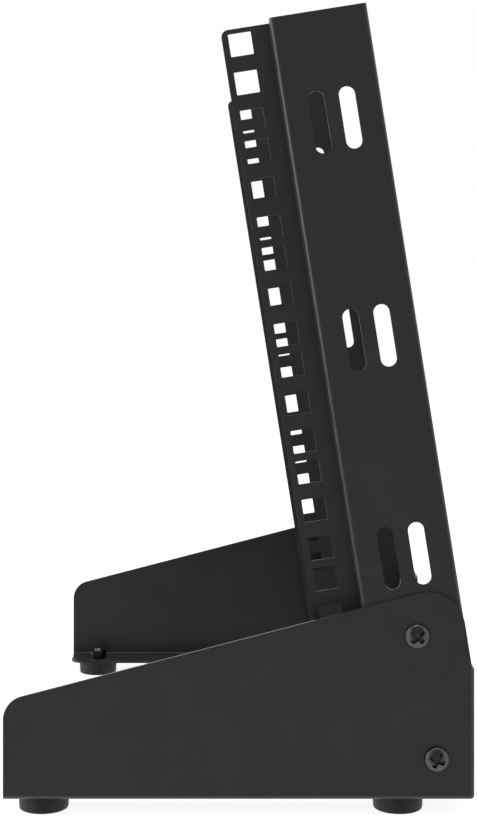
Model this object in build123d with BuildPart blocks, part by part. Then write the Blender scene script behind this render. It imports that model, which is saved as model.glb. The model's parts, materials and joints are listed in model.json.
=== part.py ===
"""A six-unit desktop rack with two tilted rails on a low folded base, in millimetres.

+X is to the rack's right, -Y is its front, +Z is up. The origin is on the surface that the
rack stands on, under the middle of its bounding box.
"""
from build123d import *
import os
from math import cos, radians, sin, tan

# Sheet metal
sheet = 1.2
base_bend_inside = 0.4
rail_bend_inside = 0.2
fit_gap = 0.5
hole_play = 0.5

# Rack units, as the mounting standard gives them
unit = 44.45
units = 6
unit_hole_pitch = 15.875
square_hole = 9.5
square_hole_corner = 0.4

# Rails
rail_span = 254.0
rail_tilt = 9.0
rail_side_depth = 39.67
rail_step = 12.9
rail_rear_flange = 20.11
rail_front_flange = 15.875
rail_rear_corner = 3.0
front_hole_inset = 8.74
rear_hole_inset = 7.5
first_hole_drop = 6.6
rail_end_margin = 2.4
rail_base_gap = 2.4
rail_foot_margin = 6.6
slot_length = 25.4
slot_width = 6.6
front_slot_setback = 13.5
slot_column_gap = 12.6
slot_units = 2
first_slot_drop = 44.7

# Base side plates
base_depth = 189.7
base_front_top = 52.6
rail_front_setback = 1.02
plate_rear_height = 39.55
plate_slope = 14.56
plate_rear_corner = 9.6
plate_crown_radius = 15.0
bottom_flange_width = 21.2
bottom_flange_corner = 7.0
front_flange_width = 48.0
front_flange_corner = 2.0

# Front cross panel
panel_edge_drop = 0.5
panel_middle_top = 40.0
panel_ear_width = 47.0
panel_ear_corner = 5.0
panel_bottom = 2.5

# Feet
foot_height = 6.6
foot_top_diameter = 20.7
foot_bottom_diameter = 20.1
foot_side_inset = 12.2
foot_rear_inset = 15.0
foot_front_inset = 29.9
foot_edge_round = 0.6
foot_pocket_diameter = 11.0
foot_pocket_depth = 3.8

# Pan-head screws and hex nuts: thread, head and nut sizes of the small and the large ones
small_thread = 4.0
small_head_diameter = 8.0
small_head_height = 2.6
small_nut_width = 7.0
small_nut_height = 3.2
large_thread = 5.0
large_head_diameter = 9.7
large_head_height = 3.3
large_nut_width = 8.0
large_nut_height = 4.0
head_rim_share = 0.25
head_shoulder_width_share = 0.8
head_shoulder_height_share = 0.74
head_crown_share = 0.4
recess_share = 0.6
recess_width_share = 0.13
recess_depth_share = 0.6
thread_tip_share = 0.1
nut_play = 0.2
foot_screw_reach = 1.4
panel_screw_reach = 1.8
rail_screw_reach = 1.0
panel_screw_inset = 24.0
panel_screw_height = 14.0
panel_screw_spacing = 32.0
rail_screw_height = 16.6
rail_screw_spacing = 50.0
rail_screw_setback = 19.83
upper_screw_turn = 36.0
lower_screw_turn = 56.0

# Places that follow from the sizes above
plate_outer_x = rail_span / 2 + sheet
front_y = -(base_depth - small_head_height) / 2
rear_y = front_y + base_depth
plate_z = foot_height
base_front_z = plate_z + base_front_top
slope = tan(radians(plate_slope))
lean = tan(radians(rail_tilt))
foot_x = plate_outer_x - foot_side_inset
panel_screw_x = plate_outer_x - panel_screw_inset
panel_screw_heights = (panel_screw_height + panel_screw_spacing, panel_screw_height)
foot_ys = {"rear": rear_y - foot_rear_inset, "front": front_y + foot_front_inset}

# Directions of a tilted rail: up along it, and rearward across it
rail_up = Vector(0, sin(radians(rail_tilt)), cos(radians(rail_tilt)))
rail_back = Vector(0, cos(radians(rail_tilt)), -sin(radians(rail_tilt)))

# The rail's front line meets the top of the base's front just behind its face
rail_foot = Vector(0, front_y + rail_front_setback, base_front_z)
rail_flange_end_drop = unit * units + rail_end_margin
rail_top = rail_foot + rail_up * (rail_flange_end_drop + rail_base_gap)

# Planes on the left rail, each with its local origin at the rail's top front corner
rail_section_plane = Plane(rail_top, x_dir=(1, 0, 0), z_dir=rail_up)
rail_side_plane = Plane(rail_top - Vector(rail_span / 2, 0, 0), x_dir=rail_back, z_dir=(-1, 0, 0))
rail_front_plane = Plane(rail_top, x_dir=(1, 0, 0), z_dir=-rail_back)
rail_depth = rail_side_depth + rail_rear_flange

# Drops below the rail's top, along it; the lower screw's follows from its height over the base's underside
lower_screw_rise = rail_top.Z - plate_z - rail_screw_height
lower_screw_drop = lower_screw_rise / rail_up.Z - rail_screw_setback * lean
rail_screw_drops = (lower_screw_drop - rail_screw_spacing, lower_screw_drop)
rail_length = lower_screw_drop + rail_foot_margin
hole_drops = [
    first_hole_drop + unit * number + unit_hole_pitch * step for number in range(units) for step in range(3)
]
slot_columns = (front_slot_setback, front_slot_setback + slot_column_gap)
slot_drops = [first_slot_drop + unit * slot_units * row for row in range(units // slot_units)]


def folded(points, radii):
    """Face of a sheet folded along an outline, with the sheet on the outline's right."""
    with BuildSketch() as section:
        with BuildLine():
            FilletPolyline(*points, radius=radii)
            offset(amount=sheet, side=Side.RIGHT)
        make_face()
    return section.sketch


def pan_screw(thread, length, head_diameter, head_height, turn):
    """Pan-head screw with a cross recess, seated at the origin with its head towards +Z."""
    tip_chamfer = thread * thread_tip_share
    rim = (head_diameter / 2, head_height * head_rim_share)
    shoulder = (
        head_diameter / 2 * head_shoulder_width_share,
        head_height * head_shoulder_height_share,
    )
    crown = (head_diameter / 2 * head_crown_share, head_height)
    with BuildPart() as screw:
        with BuildSketch(Plane.XZ):
            with BuildLine():
                Polyline(
                    crown,
                    (0, head_height),
                    (0, -length),
                    (thread / 2 - tip_chamfer, -length),
                    (thread / 2, tip_chamfer - length),
                    (thread / 2, 0),
                    (head_diameter / 2, 0),
                    rim,
                )
                ThreePointArc(rim, shoulder, crown)
            make_face()
        revolve(axis=Axis.Z)
        with BuildSketch(Plane.XY.offset(head_height)):
            with Locations(Rotation(0, 0, turn)):
                Rectangle(head_diameter * recess_share, head_diameter * recess_width_share)
                Rectangle(head_diameter * recess_width_share, head_diameter * recess_share)
        extrude(amount=-head_height * recess_depth_share, mode=Mode.SUBTRACT)
    return screw.part


def hex_nut(thread, width, height):
    """Hex nut seated at the origin with its body towards -Z, and both ends chamfered."""
    corner_radius = width / 2 / cos(radians(30))
    chamfer_drop = (corner_radius - width / 2) * tan(radians(30))
    with BuildPart() as nut:
        with BuildSketch(Plane.XZ):
            with BuildLine():
                Polyline(
                    (0, 0),
                    (width / 2, 0),
                    (corner_radius, -chamfer_drop),
                    (corner_radius, chamfer_drop - height),
                    (width / 2, -height),
                    (0, -height),
                    close=True,
                )
            make_face()
        revolve(axis=Axis.Z)
        with BuildSketch():
            RegularPolygon(width / 2, 6, major_radius=False)
        extrude(amount=-height, mode=Mode.INTERSECT)
        with BuildSketch():
            Circle((thread + nut_play) / 2)
        extrude(amount=-height, mode=Mode.SUBTRACT)
    return nut.part


# Left base plate: a side wall with a bottom flange and a front flange folded inward
slope_at_front = plate_z + plate_rear_height + slope * (base_depth - rail_front_setback)
crown_z = (slope_at_front + slope * lean * base_front_z) / (1 + slope * lean)
crown_y = rail_foot.Y + (crown_z - base_front_z) * lean
plate_outline = (
    (rear_y, plate_z),
    (rear_y, plate_z + plate_rear_height),
    (crown_y, crown_z),
    (rail_foot.Y, base_front_z),
    (front_y, base_front_z),
    (front_y, plate_z),
)
with BuildPart() as left_base_plate:
    with BuildSketch(Plane.YZ.offset(-plate_outer_x)) as outline:
        with BuildLine():
            Polyline(*plate_outline, close=True)
        make_face()
        fillet(outline.vertices().sort_by_distance((*plate_outline[1], 0))[0], plate_rear_corner)
        fillet(outline.vertices().sort_by_distance((*plate_outline[2], 0))[0], plate_crown_radius)
    extrude(amount=front_flange_width)
    outer_corner = (-plate_outer_x, front_y, plate_z)
    outer_edges = left_base_plate.edges().filter_by(GeomType.LINE)
    fillet(outer_edges.sort_by_distance(outer_corner)[0:3], base_bend_inside + sheet)
    # The hollow inside the folds, open to the top, the rear and the middle of the rack
    inner_corner = (sheet - plate_outer_x, front_y + sheet, plate_z + sheet)
    with BuildSketch(Plane.XY.offset(plate_z + sheet)):
        with Locations(inner_corner[0:2]):
            Rectangle(front_flange_width, base_depth, align=Align.MIN)
    extrude(amount=unit * units, mode=Mode.SUBTRACT)
    fillet(left_base_plate.edges().sort_by_distance(inner_corner)[0:3], base_bend_inside)
    with BuildSketch(Plane.XY.offset(base_front_z)):
        with Locations((inner_corner[0], front_y)):
            Rectangle(front_flange_width, base_depth, align=Align.MIN)
    extrude(amount=unit * units, mode=Mode.SUBTRACT)
    # The bottom flange is narrower than the front one and just clear of it, with a round rear corner
    flat_x = sheet + base_bend_inside - plate_outer_x
    with BuildSketch(Plane.XY.offset(plate_z)):
        with Locations((bottom_flange_width - plate_outer_x, front_y + sheet)):
            Rectangle(front_flange_width, base_depth, align=Align.MIN)
        with Locations((flat_x, front_y + sheet)):
            Rectangle(front_flange_width, fit_gap, align=Align.MIN)
        with Locations((flat_x, rear_y - fit_gap)):
            Rectangle(front_flange_width, fit_gap, align=Align.MIN)
    extrude(amount=sheet, mode=Mode.SUBTRACT)
    rear_corner = (bottom_flange_width - plate_outer_x, rear_y - fit_gap, plate_z)
    upright_edges = left_base_plate.edges().filter_by(Axis.Z)
    fillet(upright_edges.sort_by_distance(rear_corner)[0], bottom_flange_corner)
    flange_tip = (front_flange_width - plate_outer_x, front_y, base_front_z)
    across_edges = left_base_plate.edges().filter_by(Axis.Y)
    fillet(across_edges.sort_by_distance(flange_tip)[0], front_flange_corner)
    # Holes for the feet, the cross panel and the rail
    with BuildSketch(Plane.XY.offset(plate_z)):
        with Locations(*((-foot_x, y) for y in foot_ys.values())):
            Circle((large_thread + hole_play) / 2)
    extrude(amount=sheet, mode=Mode.SUBTRACT)
    with BuildSketch(Plane.XZ.offset(-front_y)):
        with Locations(*((-panel_screw_x, plate_z + height) for height in panel_screw_heights)):
            Circle((small_thread + hole_play) / 2)
    extrude(amount=-sheet, mode=Mode.SUBTRACT)
    with BuildSketch(rail_side_plane):
        with Locations(*((rail_screw_setback, drop) for drop in rail_screw_drops)):
            Circle((large_thread + hole_play) / 2)
    extrude(amount=sheet, mode=Mode.SUBTRACT)

# Left rail: front mounting flange, side face, step and rear flange, folded from one strip
half_span = rail_span / 2
rail_path = (
    (rail_front_flange - half_span, 0),
    (-half_span, 0),
    (-half_span, rail_side_depth),
    (rail_step - half_span, rail_side_depth),
    (rail_step - half_span, rail_depth),
)
rail_radii = [rail_bend_inside + sheet, rail_bend_inside + sheet, rail_bend_inside]
with BuildPart() as left_rail:
    with BuildSketch(rail_section_plane):
        add(folded(rail_path, rail_radii))
    extrude(amount=-rail_length)
    tip_plane = rail_side_plane.offset(-rail_step)
    rear_corners = left_rail.edges().filter_by(Axis.X).sort_by_distance(
        tip_plane.from_local_coords((rail_depth, 0, 0))
    )
    fillet(rear_corners[0], rail_rear_corner)
    # The foot of the rail stands inside the base, clear of its front flange and cross panel
    with BuildSketch(Plane.YZ.offset(-half_span)):
        with Locations((front_y + 2 * sheet + fit_gap, base_front_z + fit_gap)):
            Rectangle(unit * units, unit * units, align=Align.MAX)
    extrude(amount=rail_span, mode=Mode.SUBTRACT)
    with BuildSketch(rail_front_plane):
        with Locations((sheet - half_span, -rail_flange_end_drop)):
            Rectangle(half_span, unit * units, align=(Align.MIN, Align.MAX))
    extrude(amount=-sheet - rail_bend_inside, mode=Mode.SUBTRACT)
    # Mounting holes of the front flange
    with BuildSketch(rail_front_plane) as front_holes:
        with Locations(*((front_hole_inset - half_span, -drop) for drop in hole_drops)):
            Rectangle(square_hole, square_hole)
        fillet(front_holes.vertices(), square_hole_corner)
    extrude(amount=-sheet, mode=Mode.SUBTRACT)
    # The same holes in the rear flange
    with BuildSketch(tip_plane) as rear_holes:
        with Locations(*((rail_depth - rear_hole_inset, drop) for drop in hole_drops)):
            Rectangle(square_hole, square_hole)
        fillet(rear_holes.vertices(), square_hole_corner)
    extrude(amount=-sheet, mode=Mode.SUBTRACT)
    # Oblong slots in the side face, and the holes for its own screws
    with BuildSketch(rail_side_plane):
        with Locations(*((column, drop) for column in slot_columns for drop in slot_drops)):
            SlotOverall(slot_length, slot_width, rotation=90)
        with Locations(*((rail_screw_setback, drop) for drop in rail_screw_drops)):
            Circle((large_thread + hole_play) / 2)
    extrude(amount=-sheet, mode=Mode.SUBTRACT)

# Front cross panel, behind the front flanges of both base plates
panel_half = half_span - base_bend_inside - fit_gap
panel_top = base_front_top - panel_edge_drop
middle_half = half_span - panel_ear_width
with BuildPart() as front_cross_panel:
    with BuildSketch(Plane.XZ.offset(-front_y - sheet)) as panel:
        with BuildLine():
            Polyline(
                (-panel_half, plate_z + panel_bottom),
                (panel_half, plate_z + panel_bottom),
                (panel_half, plate_z + panel_top),
                (middle_half, plate_z + panel_top),
                (middle_half, plate_z + panel_middle_top),
                (-middle_half, plate_z + panel_middle_top),
                (-middle_half, plate_z + panel_top),
                (-panel_half, plate_z + panel_top),
                close=True,
            )
        make_face()
        ear_corners = panel.vertices().filter_by(lambda corner: abs(abs(corner.X) - middle_half) < fit_gap)
        # Both corners of an ear's step fit in its height, whatever the sizes
        fillet(ear_corners, min(panel_ear_corner, (panel_top - panel_middle_top) / 2 - sheet / 4))
        with Locations(
            *(
                (side * panel_screw_x, plate_z + height)
                for side in (-1, 1)
                for height in panel_screw_heights
            )
        ):
            Circle((small_thread + hole_play) / 2, mode=Mode.SUBTRACT)
    extrude(amount=-sheet)

# Rubber foot, its top at the origin, with a pocket for the screw's head
with BuildPart() as foot:
    with BuildSketch(Plane.XZ):
        with BuildLine():
            Polyline(
                (0, 0),
                (foot_top_diameter / 2, 0),
                (foot_bottom_diameter / 2, -foot_height),
                (0, -foot_height),
                close=True,
            )
        make_face()
    revolve(axis=Axis.Z)
    fillet(foot.edges().filter_by(GeomType.CIRCLE).group_by(Axis.Z)[0], foot_edge_round)
    with BuildSketch(Plane.XY.offset(-foot_height)):
        Circle(foot_pocket_diameter / 2)
    extrude(amount=foot_pocket_depth, mode=Mode.SUBTRACT)
    with BuildSketch():
        Circle((large_thread + hole_play) / 2)
    extrude(amount=-foot_height, mode=Mode.SUBTRACT)

# Fasteners, each made once at the origin
foot_clamp = foot_height - foot_pocket_depth + sheet
foot_screw = pan_screw(
    large_thread, foot_clamp + large_nut_height + foot_screw_reach, large_head_diameter, large_head_height, 0
)
panel_screw = pan_screw(
    small_thread,
    2 * sheet + small_nut_height + panel_screw_reach,
    small_head_diameter,
    small_head_height,
    45,
)
rail_screws = [
    pan_screw(
        large_thread,
        2 * sheet + large_nut_height + rail_screw_reach,
        large_head_diameter,
        large_head_height,
        turn,
    )
    for turn in (upper_screw_turn, lower_screw_turn)
]
small_nut = hex_nut(small_thread, small_nut_width, small_nut_height)
large_nut = hex_nut(large_thread, large_nut_width, large_nut_height)


def keep(piece, name):
    """Label a finished piece and write its file."""
    piece.label = name
    export_step(piece, f"parts/{name}.step")


def placed(piece, plane):
    """Copy of a piece made at the origin, set on a plane."""
    with BuildPart() as copy:
        add(plane * piece)
    return copy.part


os.makedirs("parts", exist_ok=True)
keep(left_base_plate.part, "left_base_plate")
keep(left_rail.part, "left_rail")
keep(front_cross_panel.part, "front_cross_panel")
with BuildPart() as right_base_plate:
    mirror(left_base_plate.part, about=Plane.YZ)
keep(right_base_plate.part, "right_base_plate")
with BuildPart() as right_rail:
    mirror(left_rail.part, about=Plane.YZ)
keep(right_rail.part, "right_rail")

for side, side_name in ((-1, "left"), (1, "right")):
    # Feet, held up against the bottom flange by a screw from below and a nut on top
    for end_name, y in foot_ys.items():
        name = f"{side_name}_{end_name}_foot"
        under_flange = Plane((side * foot_x, y, plate_z))
        pocket_floor = Plane((side * foot_x, y, foot_pocket_depth), z_dir=(0, 0, -1))
        over_flange = Plane((side * foot_x, y, plate_z + sheet), x_dir=(0, 1, 0), z_dir=(0, 0, -1))
        keep(placed(foot.part, under_flange), name)
        keep(placed(foot_screw, pocket_floor), f"{name}_screw")
        keep(placed(large_nut, over_flange), f"{name}_nut")
    # Screws of the cross panel, heads at the front
    for level_name, height in zip(("upper", "lower"), panel_screw_heights):
        name = f"{side_name}_{level_name}_panel"
        before_flange = Plane((side * panel_screw_x, front_y, plate_z + height), z_dir=(0, -1, 0))
        behind_panel = Plane(
            (side * panel_screw_x, front_y + 2 * sheet, plate_z + height), z_dir=(0, -1, 0)
        )
        keep(placed(panel_screw, before_flange), f"{name}_screw")
        keep(placed(small_nut, behind_panel), f"{name}_nut")
    # Screws of the rail, heads on the outer side
    for level_name, drop, rail_screw in zip(("upper", "lower"), rail_screw_drops, rail_screws):
        name = f"{side_name}_{level_name}_rail"
        spot = rail_top - rail_up * drop + rail_back * rail_screw_setback
        outer = Plane(
            spot + Vector(side * plate_outer_x, 0, 0), x_dir=rail_back, z_dir=(side, 0, 0)
        )
        inner = Plane(
            spot + Vector(side * (half_span - sheet), 0, 0), x_dir=rail_back, z_dir=(side, 0, 0)
        )
        keep(placed(rail_screw, outer), f"{name}_screw")
        keep(placed(large_nut, inner), f"{name}_nut")
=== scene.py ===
"""Looks of a half-width desktop rack: powder-coated folded sheet, black screws and rubber feet.

Lengths are in metres and angles in radians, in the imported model's own frame: +X to the
rack's right, -Y to its front, +Z up, with the floor at zero.
"""
import json
from math import pi, radians
import bmesh
import bpy
import numpy as np
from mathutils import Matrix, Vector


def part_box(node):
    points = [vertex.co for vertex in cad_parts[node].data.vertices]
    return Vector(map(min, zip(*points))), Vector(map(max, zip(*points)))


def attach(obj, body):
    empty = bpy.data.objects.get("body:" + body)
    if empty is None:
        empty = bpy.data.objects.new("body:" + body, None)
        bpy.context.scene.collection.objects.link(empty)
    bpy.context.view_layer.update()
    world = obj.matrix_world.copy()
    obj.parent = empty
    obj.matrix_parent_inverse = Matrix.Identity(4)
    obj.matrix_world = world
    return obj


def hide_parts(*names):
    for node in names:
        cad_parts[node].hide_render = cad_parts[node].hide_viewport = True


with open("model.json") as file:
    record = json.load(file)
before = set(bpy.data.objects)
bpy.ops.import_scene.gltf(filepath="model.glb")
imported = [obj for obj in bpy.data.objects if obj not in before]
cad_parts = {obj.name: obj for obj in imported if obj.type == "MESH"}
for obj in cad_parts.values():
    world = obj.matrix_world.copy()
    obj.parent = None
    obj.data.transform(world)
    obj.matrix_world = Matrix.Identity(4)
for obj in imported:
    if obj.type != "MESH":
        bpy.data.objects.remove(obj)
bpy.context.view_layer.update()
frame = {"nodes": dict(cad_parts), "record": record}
MM = 0.001

# Camera, from the photograph's own perspective
PHOTO_WIDTH, PHOTO_HEIGHT = 477, 817
SENSOR = 36.0
FOCAL_PIXELS = 1553.0
AXIS_X, AXIS_Y = 246.7, 300.05
CAMERA_STANDOFF = 624.0 * MM
CAMERA_BEHIND_FRONT = 91.7 * MM
CAMERA_OVER_PLATE = 200.9 * MM

# Fasteners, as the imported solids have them
SMALL_THREAD, SMALL_PITCH, SMALL_HEAD, SMALL_HEAD_HEIGHT = 4.0 * MM, 0.7 * MM, 8.0 * MM, 2.6 * MM
LARGE_THREAD, LARGE_PITCH, LARGE_HEAD, LARGE_HEAD_HEIGHT = 5.0 * MM, 0.8 * MM, 9.7 * MM, 3.3 * MM
SMALL_NUT, LARGE_NUT = 7.0 * MM, 8.0 * MM
RAIL_TILT = radians(9)
RAIL_SCREW_TURN = {"upper": radians(36), "lower": radians(56)}
PANEL_SCREW_TURN, FOOT_SCREW_TURN = radians(45), 0.0
HEAD_CROWN_SHARE = 1.7
HEAD_SHOULDER_SHARE = 0.2
HEAD_SEAT_ROUND = 0.15 * MM
RECESS_SHARE, RECESS_WIDTH_SHARE, RECESS_DEPTH_SHARE = 0.68, 0.15, 0.62
RECESS_WALL, RECESS_TAPER = 0.14 * MM, 0.35
RECESS_GRID_END, HEAD_GRID_START = 1.08, 1.1
THREAD_DEPTH_SHARE = 0.54
THREADED_END = 4.0 * MM
NUT_CORNER_ROUND, NUT_FACE_SHARE, NUT_SINK, NUT_CONE = 0.08 * MM, 0.97, 0.35 * MM, radians(30)
SCREW_COLUMNS, RECESS_ROWS, THREAD_ROWS = 144, 52, 44
CAP_ROWS, SHOULDER_ROWS = 40, 9
NUT_COLUMNS = 72
MERGE_DISTANCE = 0.001 * MM
SHARP_ANGLE = radians(38)

# Coated edges of the sheet
EDGE_ROUND, EDGE_STEPS, EDGE_ANGLE = 0.2 * MM, 2, radians(40)

# Rubber feet
FOOT_COLUMNS = 96
FOOT_TAPER = 0.3 * MM
FOOT_TOP_ROUND, FOOT_LOW_ROUND, FOOT_LIP_ROUND = 0.3 * MM, 0.7 * MM, 0.3 * MM
FOOT_TOP_STEPS, FOOT_LOW_STEPS, FOOT_LIP_STEPS = 7, 9, 5
FOOT_POCKET, FOOT_POCKET_DEPTH, FOOT_BORE = 11.0 * MM, 3.8 * MM, 5.5 * MM

# Finishes: sRGB shades, roughness ranges, pattern periods, and reliefs as strength and height
COAT_SHADES, COAT_ROUGHNESS, COAT_IOR = ("#262627", "#29292a"), (0.32, 0.36), 1.55
COAT_PEEL, COAT_DRIFT, COAT_RELIEF = 1.1 * MM, 16.0 * MM, (0.05, 0.05 * MM)
PLATING_SHADES, PLATING_ROUGHNESS, PLATING_CLOUD = ("#5a5a5a", "#646464"), (0.29, 0.35), 1.5 * MM
# The nuts' shades are the screw metal made darker: painted shade, not a finish of their own.
NUT_SHADED_COLOURS, NUT_ROUGHNESS, NUT_CLOUD = ("#2c2c2c", "#363636"), (0.3, 0.4), 1.5 * MM
RUBBER_SHADES, RUBBER_ROUGHNESS, RUBBER_GRAIN = ("#161616", "#1b1b1b"), (0.46, 0.56), 0.5 * MM
RUBBER_SPECULAR, RUBBER_RELIEF = 0.4, (0.1, 0.05 * MM)
PLAIN_DETAIL, CLOUD_DETAIL = 2.0, 3.0
NOISE_LOW, NOISE_HIGH = 0.3, 0.7

# Studio, in metres, with lights as the radiance of their faces
SKY_LIGHT, SKY_SHOWN = 0.4, 1.0
PAPER_MATT, PAPER_SHADED, PAPER_GLOW = 0.8, 0.4, 0.85
FLOOR_SIZE = 40.0
LAMP_HEIGHT, LAMP_SIZE, LAMP_RADIANCE = 2.0, 1.1, 5.0
FILL_DISTANCE, FILL_SIZE, FILL_HEIGHT, FILL_RADIANCE = 1.3, 1.0, 0.4, 3.6
REAR_DISTANCE, REAR_SIZE, REAR_HEIGHT, REAR_RADIANCE = 1.3, 1.2, 0.5, 1.6
CARD_FAR, CARD_TOP, CARD_SEAM, CARD_LOW = 1.2, 1.9, -0.15, -0.84
CARD_REAR_END, CARD_FRONT_END, CARD_RIGHT_END = 0.72, 1.1, 2.0
FLOOR_CARD_INSET, FLOOR_CARD_HEIGHT = 0.03, 0.002
FLOOR_CARD_FRONT_END, FLOOR_CARD_REAR_END = 0.25, 0.105
HIGH_CARD_LIGHT, LOW_CARD_LIGHT = 0.16, 0.28
FRONT_CARD_LIGHT, FLOOR_CARD_LIGHT = 0.9, 0.36
plate_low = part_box("left_base_plate")[0]


def linear(code):
    """Linear colour of an sRGB hex value, with full alpha."""
    channels = [int(code[place:place + 2], 16) / 255 for place in (1, 3, 5)]
    return [c / 12.92 if c <= 0.04045 else ((c + 0.055) / 1.055) ** 2.4 for c in channels] + [1.0]


def grey(value):
    """Linear grey with full alpha."""
    return (value, value, value, 1.0)


def node(tree, kind, settings=(), links=()):
    """Adds a shader node: settings name its properties or inputs, and links feed its inputs."""
    made = tree.nodes.new(kind)
    for name, value in dict(settings).items():
        if hasattr(made, name):
            setattr(made, name, value)
        else:
            made.inputs[name].default_value = value
    for name, source in dict(links).items():
        tree.links.new(source, made.inputs[name])
    return made


def new_material(name):
    """Material without any nodes, and its node tree."""
    material = bpy.data.materials.new(name)
    material.use_nodes = True
    material.node_tree.nodes.clear()
    return material, material.node_tree


def between(tree, factor, low, high):
    """Value that runs from low to high with a pattern's factor, as far as the noise swings."""
    spread = node(
        tree,
        "ShaderNodeMapRange",
        {"From Min": NOISE_LOW, "From Max": NOISE_HIGH, "To Min": low, "To Max": high},
        {"Value": factor},
    )
    return spread.outputs["Result"]


def tinted(tree, factor, low, high):
    """Colour that runs between two sRGB hex values with a pattern's factor."""
    blend = node(
        tree,
        "ShaderNodeMix",
        {"data_type": "RGBA"},
        {0: between(tree, factor, 0.0, 1.0)},
    )
    blend.inputs[6].default_value = linear(low)
    blend.inputs[7].default_value = linear(high)
    return blend.outputs[2]


def noise(tree, period, detail=PLAIN_DETAIL):
    """Noise on object coordinates, whose blobs are about one period across."""
    place = node(tree, "ShaderNodeTexCoord").outputs["Object"]
    made = node(tree, "ShaderNodeTexNoise", {"Scale": 1 / period, "Detail": detail}, {"Vector": place})
    return made.outputs["Fac"]


def raised(tree, height, strength, distance):
    """Normal of a surface with a fine relief: a pattern's strength and how high it stands."""
    bump = node(tree, "ShaderNodeBump", {"Strength": strength, "Distance": distance}, {"Height": height})
    return bump.outputs["Normal"]


def powder_coat():
    """Black semi-matt powder coat on steel.

    The cured powder leaves an orange peel of about a millimetre, drawn a little coarser than real so
    that it shows, and the film's gloss drifts slightly over a few centimetres.
    """
    material, tree = new_material("black_powder_coat")
    skin = node(
        tree,
        "ShaderNodeBsdfPrincipled",
        {"IOR": COAT_IOR},
        {
            "Base Color": tinted(tree, noise(tree, COAT_DRIFT), *COAT_SHADES),
            "Roughness": between(tree, noise(tree, COAT_DRIFT), *COAT_ROUGHNESS),
            "Normal": raised(tree, noise(tree, COAT_PEEL), *COAT_RELIEF),
        },
    )
    node(tree, "ShaderNodeOutputMaterial", (), {"Surface": skin.outputs["BSDF"]})
    return material


def blackened_steel(name, shades, roughness, cloud):
    """Blackened steel: a dark metal film, faintly cloudy as it comes from the bath."""
    material, tree = new_material(name)
    film = noise(tree, cloud, CLOUD_DETAIL)
    skin = node(
        tree,
        "ShaderNodeBsdfPrincipled",
        {"Metallic": 1.0},
        {
            "Base Color": tinted(tree, film, *shades),
            "Roughness": between(tree, film, *roughness),
        },
    )
    node(tree, "ShaderNodeOutputMaterial", (), {"Surface": skin.outputs["BSDF"]})
    return material


def moulded_rubber():
    """Moulded black rubber: matt, with the fine spark-eroded grain of its mould."""
    material, tree = new_material("moulded_black_rubber")
    grain = noise(tree, RUBBER_GRAIN)
    skin = node(
        tree,
        "ShaderNodeBsdfPrincipled",
        {"Specular IOR Level": RUBBER_SPECULAR},
        {
            "Base Color": tinted(tree, grain, *RUBBER_SHADES),
            "Roughness": between(tree, grain, *RUBBER_ROUGHNESS),
            "Normal": raised(tree, grain, *RUBBER_RELIEF),
        },
    )
    node(tree, "ShaderNodeOutputMaterial", (), {"Surface": skin.outputs["BSDF"]})
    return material


def seen_directly(tree):
    """One for rays that show a background: the camera's own, mirrored ones and ones through glass."""
    path = node(tree, "ShaderNodeLightPath").outputs
    mirrored = node(
        tree,
        "ShaderNodeMath",
        {"operation": "MAXIMUM"},
        {0: path["Is Glossy Ray"], 1: path["Is Transmission Ray"]},
    )
    seen = node(
        tree,
        "ShaderNodeMath",
        {"operation": "MAXIMUM"},
        {0: path["Is Camera Ray"], 1: mirrored.outputs[0]},
    )
    return seen.outputs[0]


def paper_white():
    """Studio paper: lights the rack as matt white does, looks white, and keeps a light shadow."""
    material, tree = new_material("white_studio_paper")
    matt = node(tree, "ShaderNodeBsdfDiffuse", {"Color": grey(PAPER_MATT)})
    shaded = node(tree, "ShaderNodeBsdfDiffuse", {"Color": grey(PAPER_SHADED)})
    glow = node(tree, "ShaderNodeEmission", {"Color": grey(1.0), "Strength": PAPER_GLOW})
    shown = node(
        tree, "ShaderNodeAddShader", (), {0: glow.outputs["Emission"], 1: shaded.outputs["BSDF"]}
    )
    either = node(
        tree,
        "ShaderNodeMixShader",
        (),
        {"Fac": seen_directly(tree), 1: matt.outputs["BSDF"], 2: shown.outputs["Shader"]},
    )
    node(tree, "ShaderNodeOutputMaterial", (), {"Surface": either.outputs["Shader"]})
    return material


def grey_card(light):
    """Even grey card, which the rack's semi-matt sides mirror in place of the white surroundings."""
    material, tree = new_material("matt_grey_card")
    card = node(tree, "ShaderNodeEmission", {"Color": grey(1.0), "Strength": light})
    node(tree, "ShaderNodeOutputMaterial", (), {"Surface": card.outputs["Emission"]})
    return material


# Screws are zinc plated and passivated black, which stays glossy. Nuts take a darker, duller copy
# of the same black metal, whose darker colour is painted shade for the shadowed places they sit in.
finishes = {
    "powder_coat": powder_coat(),
    "black_screw": blackened_steel(
        "black_zinc_plated_steel", PLATING_SHADES, PLATING_ROUGHNESS, PLATING_CLOUD
    ),
    "rubber": moulded_rubber(),
}
# Darker copy of the screws' black metal for the nuts: the extra darkness is painted shade.
shaded_nut_finish = blackened_steel("painted_shade_nut_steel", NUT_SHADED_COLOURS, NUT_ROUGHNESS, NUT_CLOUD)
for row in frame["record"]["subparts"]:
    piece = frame["nodes"][row["node"]]
    for slot in piece.material_slots:
        slot.material = finishes[row["material_slot"]]


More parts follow.
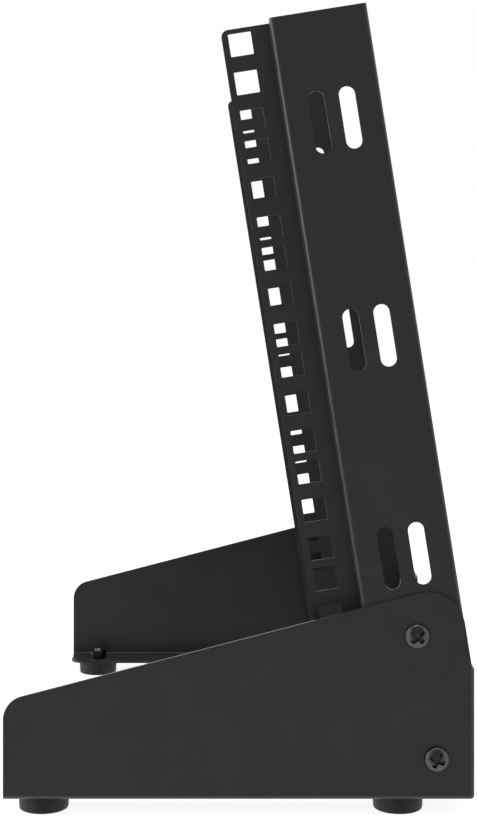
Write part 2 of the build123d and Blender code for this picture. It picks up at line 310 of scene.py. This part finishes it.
def closed_surface(name, grid, slot, stands_for, finish=None):
    """Closed piece on one grid of points, in place of the named node.

    Rows run along its profile, from end to end, and columns run round it, with the last one joined
    to the first. A row whose points all meet becomes a pole.
    """
    rows, columns = grid.shape[:2]
    number = np.arange(rows * columns).reshape(rows, columns)
    after = np.roll(number, -1, axis=1)
    quads = np.stack([number[:-1], number[1:], after[1:], after[:-1]], axis=-1).reshape(-1, 4)
    mesh = bpy.data.meshes.new(name)
    mesh.from_pydata(grid.reshape(-1, 3), [], quads)
    shape = bmesh.new()
    shape.from_mesh(mesh)
    bmesh.ops.remove_doubles(shape, verts=shape.verts, dist=MERGE_DISTANCE)
    bmesh.ops.dissolve_degenerate(shape, edges=shape.edges, dist=MERGE_DISTANCE)
    bmesh.ops.recalc_face_normals(shape, faces=shape.faces)
    shape.to_mesh(mesh)
    shape.free()
    mesh.shade_smooth()
    mesh.set_sharp_from_angle(angle=SHARP_ANGLE)
    mesh.materials.append(finish or finishes[slot])
    piece = bpy.data.objects.new(name, mesh)
    bpy.context.scene.collection.objects.link(piece)
    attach(piece, "root")
    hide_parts(stands_for)
    return piece


def arc(centre, radius, start, end, steps):
    """Profile points on a circle: its centre plus the radius times the cosine and sine of the turn."""
    turn = np.radians(np.linspace(start, end, steps))
    return np.stack([centre[0] + radius * np.cos(turn), centre[1] + radius * np.sin(turn)], axis=1)


def placed(local, seat, across, outward):
    """Points of a piece made about its own z axis, turned so that z looks outward, on its seat."""
    across, outward = np.array(across, float), np.array(outward, float)
    turned = np.stack([across, np.cross(outward, across), outward])
    return local @ turned + np.array(seat)


def smooth_step(value):
    """Rises from zero to one with level ends: three times the square less twice the cube."""
    value = np.clip(value, 0, 1)
    return value * value * (3 - 2 * value)


def head_profile(radius, head_height):
    """Heights of a pan head over its radius: a wide ball's cap, then a rounded shoulder down to its rim.

    The cap falls from the crown by the ball's radius less the root of its square less the square of
    the distance from the axis. The shoulder is a small circle that the cap meets without a crease.
    """
    ball, shoulder = radius * HEAD_CROWN_SHARE, radius * HEAD_SHOULDER_SHARE
    lean = np.arcsin((radius - shoulder) / (ball - shoulder))
    cap = np.linspace(0, lean, CAP_ROWS)
    turn = np.linspace(lean, pi / 2, SHOULDER_ROWS)[1:]
    low = head_height - ball + (ball - shoulder) * np.cos(lean)
    across = np.concatenate([ball * np.sin(cap), radius - shoulder + shoulder * np.sin(turn)])
    height = np.concatenate([head_height - ball + ball * np.cos(cap), low + shoulder * np.cos(turn)])
    return across, height


def pan_head(turns, head_diameter, head_height, recess_turn):
    """Top of a pan head, row by row from its middle to its rim.

    The cross recess lowers it where a point lies within half a wing's width of either arm and within
    the arm's length, by a depth that tapers towards the arm's end.
    """
    radius = head_diameter / 2
    arm = head_diameter * RECESS_SHARE / 2
    across, dome = head_profile(radius, head_height)
    inner = np.linspace(0, arm * RECESS_GRID_END, RECESS_ROWS)
    outer = across > arm * HEAD_GRID_START
    dome = np.concatenate([np.interp(inner, across, dome), dome[outer]])[:, None]
    across = np.concatenate([inner, across[outer]])[:, None]
    angle = turns - recess_turn
    along, over = np.abs(across * np.cos(angle)), np.abs(across * np.sin(angle))
    half_wing = head_diameter * RECESS_WIDTH_SHARE / 2
    inside = smooth_step((half_wing + RECESS_WALL - np.minimum(along, over)) / RECESS_WALL)
    ended = smooth_step((arm - across) / (RECESS_WALL * 2))
    depth = head_height * RECESS_DEPTH_SHARE * (1 - RECESS_TAPER * across / arm)
    height = dome - depth * inside * ended
    return np.stack([across * np.cos(turns), across * np.sin(turns), height], axis=-1)


def ring(turns, radius, height):
    """One row of a piece: a circle, or a curve whose radius or height changes with the turn."""
    flat = np.zeros_like(turns)
    return np.stack([radius * np.cos(turns), radius * np.sin(turns), height + flat], axis=-1)[None]


def screw_shape(
    node_name, thread, pitch, head_diameter, head_height, seat, across, outward, recess_turn, length
):
    """Pan-head screw: the head's top and rim, its flat seat, a plain shank and a threaded end.

    The thread's radius swings between its root and its crest as a triangle wave of the height over
    the pitch less the turn over a full circle, and fades into the tip's chamfer.
    """
    turns = np.linspace(0, 2 * pi, SCREW_COLUMNS, endpoint=False)
    radius, depth = thread / 2, pitch * THREAD_DEPTH_SHARE
    rows = [
        pan_head(turns, head_diameter, head_height, recess_turn),
        ring(turns, head_diameter / 2, HEAD_SEAT_ROUND),
        ring(turns, head_diameter / 2 - HEAD_SEAT_ROUND, 0.0),
        ring(turns, radius, 0.0),
    ]
    heights = np.linspace(-length + THREADED_END, -length, THREAD_ROWS)[:, None]
    wave = np.abs((heights / pitch - turns / (2 * pi)) % 1 * 2 - 1)
    chamfer = np.clip((length + heights) / depth, 0, 1)
    reach = radius - depth * np.maximum(wave, 1 - chamfer)
    rows.append(np.stack([reach * np.cos(turns), reach * np.sin(turns), heights + 0 * turns], axis=-1))
    rows.append(ring(turns, 0.0, -length))
    grid = placed(np.concatenate(rows), seat, across, outward)
    return closed_surface(f"shaped_{node_name}", grid, "black_screw", node_name)


def nut_shape(node_name, thread, width, height, seat, across, outward):
    """Hex nut: a six-sided prism with both faces cut by a cone, and a countersunk hole.

    The side's distance from the axis is half the width over the cosine of the turn from the nearest
    flat's middle, held a little short of the corner, and the cone lowers each face's edge by the
    tangent of its angle times how far that side stands out past the cone's circle.
    """
    turns = np.linspace(0, 2 * pi, NUT_COLUMNS, endpoint=False)
    off_flat = (turns % (pi / 3)) - pi / 6
    side = np.minimum(width / 2 / np.cos(off_flat), width / 2 / np.cos(pi / 6) - NUT_CORNER_ROUND)
    circle = width / 2 * NUT_FACE_SHARE
    drop = (side - circle) * np.tan(NUT_CONE)
    hole, sink = thread / 2, thread / 2 + NUT_SINK
    rows = np.concatenate([
        ring(turns, hole, -height / 2),
        ring(turns, hole, -NUT_SINK),
        ring(turns, sink, 0.0),
        ring(turns, circle, 0.0),
        ring(turns, side, -drop),
        ring(turns, side, drop - height),
        ring(turns, circle, -height),
        ring(turns, sink, -height),
        ring(turns, hole, NUT_SINK - height),
        ring(turns, hole, -height / 2),
    ])
    grid = placed(rows, seat, across, outward)
    # The nut wears the darker copy of the screw metal, whose darkness is painted shade.
    return closed_surface(f"shaped_{node_name}", grid, "black_screw", node_name, shaded_nut_finish)


def foot_shape(node_name, low, high):
    """Rubber foot: one profile turned about its axis, with soft rims and a round pocket below."""
    turns = np.linspace(0, 2 * pi, FOOT_COLUMNS, endpoint=False)
    top, middle = high[2] - low[2], centre(low, high)
    wide = (high[0] - low[0]) / 2
    narrow, pocket = wide - FOOT_TAPER, FOOT_POCKET / 2
    profile = np.concatenate([
        [[FOOT_BORE / 2, FOOT_POCKET_DEPTH], [FOOT_BORE / 2, top]],
        arc((wide - FOOT_TOP_ROUND, top - FOOT_TOP_ROUND), FOOT_TOP_ROUND, 90, 0, FOOT_TOP_STEPS),
        arc((narrow - FOOT_LOW_ROUND, FOOT_LOW_ROUND), FOOT_LOW_ROUND, 0, -90, FOOT_LOW_STEPS),
        arc((pocket + FOOT_LIP_ROUND, FOOT_LIP_ROUND), FOOT_LIP_ROUND, 270, 180, FOOT_LIP_STEPS),
        arc(
            (pocket - FOOT_LIP_ROUND, FOOT_POCKET_DEPTH - FOOT_LIP_ROUND),
            FOOT_LIP_ROUND, 0, 90, FOOT_LIP_STEPS,
        ),
        [[FOOT_BORE / 2, FOOT_POCKET_DEPTH]],
    ])
    radius, height = profile[:, 0:1], profile[:, 1:2]
    grid = np.stack([radius * np.cos(turns), radius * np.sin(turns), height + 0 * turns], axis=-1)
    grid = grid + np.array([middle[0], middle[1], low[2]])
    return closed_surface(f"shaped_{node_name}", grid, "rubber", node_name)


def centre(low, high):
    """Middle of a box."""
    return [(low[axis] + high[axis]) / 2 for axis in range(3)]


def soften_edges():
    """Cut edges of the folded sheet pieces, rounded as the coat rounds them."""
    for row in frame["record"]["subparts"]:
        if row["material_slot"] == "powder_coat":
            piece = frame["nodes"][row["node"]]
            weld = piece.modifiers.new("joined_edges", "WELD")
            weld.merge_threshold = MERGE_DISTANCE
            bevel = piece.modifiers.new("rounded_edges", "BEVEL")
            bevel.width = EDGE_ROUND
            bevel.segments = EDGE_STEPS
            bevel.limit_method = "ANGLE"
            bevel.angle_limit = EDGE_ANGLE
            bevel.harden_normals = True


def add_fasteners():
    """Screws, nuts and feet in place of the plain ones, each where its own node is."""
    rail_back = (0.0, np.cos(RAIL_TILT), -np.sin(RAIL_TILT))
    for side, sign in (("left", -1), ("right", 1)):
        for end in ("front", "rear"):
            name = f"{side}_{end}_foot"
            foot_shape(name, *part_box(name))
            low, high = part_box(f"{name}_screw")
            seat = centre(low, high)
            seat[2] = low[2] + LARGE_HEAD_HEIGHT
            screw_shape(
                f"{name}_screw", LARGE_THREAD, LARGE_PITCH, LARGE_HEAD, LARGE_HEAD_HEIGHT,
                seat, (1, 0, 0), (0, 0, -1), FOOT_SCREW_TURN, high[2] - seat[2],
            )
            low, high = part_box(f"{name}_nut")
            seat = centre(low, high)
            seat[2] = low[2]
            nut_shape(
                f"{name}_nut", LARGE_THREAD, LARGE_NUT, high[2] - low[2], seat, (0, 1, 0), (0, 0, -1)
            )
        for level in ("upper", "lower"):
            name = f"{side}_{level}_panel"
            low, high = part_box(f"{name}_screw")
            seat = centre(low, high)
            seat[1] = low[1] + SMALL_HEAD_HEIGHT
            screw_shape(
                f"{name}_screw", SMALL_THREAD, SMALL_PITCH, SMALL_HEAD, SMALL_HEAD_HEIGHT,
                seat, (0, 0, 1), (0, -1, 0), PANEL_SCREW_TURN, high[1] - seat[1],
            )
            low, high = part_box(f"{name}_nut")
            seat = centre(low, high)
            seat[1] = low[1]
            nut_shape(
                f"{name}_nut", SMALL_THREAD, SMALL_NUT, high[1] - low[1], seat, (0, 0, 1), (0, -1, 0)
            )
            name = f"{side}_{level}_rail"
            low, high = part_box(f"{name}_screw")
            outer, inner = (low[0], high[0]) if sign < 0 else (high[0], low[0])
            seat = centre(low, high)
            seat[0] = outer - sign * LARGE_HEAD_HEIGHT
            screw_shape(
                f"{name}_screw", LARGE_THREAD, LARGE_PITCH, LARGE_HEAD, LARGE_HEAD_HEIGHT,
                seat, rail_back, (sign, 0, 0), RAIL_SCREW_TURN[level], abs(inner - seat[0]),
            )
            low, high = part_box(f"{name}_nut")
            seat = centre(low, high)
            seat[0] = low[0] if sign < 0 else high[0]
            nut_shape(
                f"{name}_nut", LARGE_THREAD, LARGE_NUT, high[0] - low[0], seat, rail_back, (sign, 0, 0)
            )


def add_floor():
    """Large white floor under the feet, left out of mirrored rays so that the flat sides stay even."""
    bpy.ops.mesh.primitive_plane_add(size=FLOOR_SIZE)
    floor = bpy.context.object
    floor.name = "studio_floor"
    floor.data.materials.append(paper_white())
    floor.visible_glossy = False


def add_camera():
    """Camera at the photograph's place, its image plane parallel to the rack's side."""
    data = bpy.data.cameras.new("photo_camera")
    data.sensor_width = SENSOR
    data.lens = FOCAL_PIXELS * SENSOR / PHOTO_HEIGHT
    data.shift_x = (PHOTO_WIDTH / 2 - AXIS_X) / PHOTO_HEIGHT
    data.shift_y = (AXIS_Y - PHOTO_HEIGHT / 2) / PHOTO_HEIGHT
    camera = bpy.data.objects.new("photo_camera", data)
    camera.location = (
        plate_low[0] - CAMERA_STANDOFF,
        plate_low[1] + CAMERA_BEHIND_FRONT,
        plate_low[2] + CAMERA_OVER_PLATE,
    )
    camera.rotation_euler = (pi / 2, 0, -pi / 2)
    bpy.context.scene.collection.objects.link(camera)
    bpy.context.scene.camera = camera


def add_light():
    """White surroundings, three soft lamps, and cards beside, before and between the base plates."""
    world = bpy.data.worlds.new("studio")
    world.use_nodes = True
    tree = world.node_tree
    tree.nodes.clear()
    plain = node(tree, "ShaderNodeBackground", {"Color": grey(1.0), "Strength": SKY_LIGHT})
    white = node(tree, "ShaderNodeBackground", {"Color": grey(1.0), "Strength": SKY_SHOWN})
    either = node(
        tree,
        "ShaderNodeMixShader",
        (),
        {"Fac": seen_directly(tree), 1: plain.outputs["Background"], 2: white.outputs["Background"]},
    )
    node(tree, "ShaderNodeOutputWorld", (), {"Surface": either.outputs["Shader"]})
    bpy.context.scene.world = world
    add_softbox("overhead_softbox", LAMP_SIZE, LAMP_RADIANCE, (0, 0, LAMP_HEIGHT), (0, 0, 0))
    add_softbox(
        "rear_softbox", REAR_SIZE, REAR_RADIANCE, (0, REAR_DISTANCE, REAR_HEIGHT), (-pi / 2, 0, 0)
    )
    fill = add_softbox(
        "side_fill", FILL_SIZE, FILL_RADIANCE, (-FILL_DISTANCE, 0, FILL_HEIGHT), (0, -pi / 2, 0)
    )
    fill.visible_glossy = False
    add_card("high_side_card", HIGH_CARD_LIGHT, [
        (-CARD_FAR, CARD_REAR_END, CARD_SEAM), (-CARD_FAR, -CARD_FRONT_END, CARD_SEAM),
        (-CARD_FAR, -CARD_FRONT_END, CARD_TOP), (-CARD_FAR, CARD_REAR_END, CARD_TOP),
    ])
    add_card("low_side_card", LOW_CARD_LIGHT, [
        (-CARD_FAR, CARD_REAR_END, CARD_LOW), (-CARD_FAR, -CARD_FRONT_END, CARD_LOW),
        (-CARD_FAR, -CARD_FRONT_END, CARD_SEAM), (-CARD_FAR, CARD_REAR_END, CARD_SEAM),
    ])
    add_card("front_card", FRONT_CARD_LIGHT, [
        (-CARD_FAR, -CARD_FRONT_END, CARD_LOW), (CARD_RIGHT_END, -CARD_FRONT_END, CARD_LOW),
        (CARD_RIGHT_END, -CARD_FRONT_END, CARD_TOP), (-CARD_FAR, -CARD_FRONT_END, CARD_TOP),
    ])
    inner = plate_low[0] + FLOOR_CARD_INSET
    add_card("floor_card", FLOOR_CARD_LIGHT, [
        (inner, -FLOOR_CARD_FRONT_END, FLOOR_CARD_HEIGHT),
        (-inner, -FLOOR_CARD_FRONT_END, FLOOR_CARD_HEIGHT),
        (-inner, FLOOR_CARD_REAR_END, FLOOR_CARD_HEIGHT),
        (inner, FLOOR_CARD_REAR_END, FLOOR_CARD_HEIGHT),
    ])


def add_softbox(name, size, radiance, place, turn):
    """Round soft lamp of the given radiance: its watts are that times pi times its area."""
    lamp = bpy.data.lights.new(name, "AREA")
    lamp.shape = "DISK"
    lamp.size = size
    lamp.energy = radiance * pi * pi * size * size / 4
    softbox = bpy.data.objects.new(name, lamp)
    softbox.location = place
    softbox.rotation_euler = turn
    softbox.visible_camera = False
    bpy.context.scene.collection.objects.link(softbox)
    return softbox


def add_card(name, light, corners):
    """Four-cornered card that the camera doesn't see and that throws no shadow."""
    mesh = bpy.data.meshes.new(name)
    mesh.from_pydata(corners, [], [(0, 1, 2, 3)])
    mesh.materials.append(grey_card(light))
    card = bpy.data.objects.new(name, mesh)
    card.visible_camera = False
    card.visible_shadow = False
    bpy.context.scene.collection.objects.link(card)


soften_edges()
add_fasteners()
add_floor()
add_camera()
add_light()
bpy.context.scene.view_settings.view_transform = "Standard"
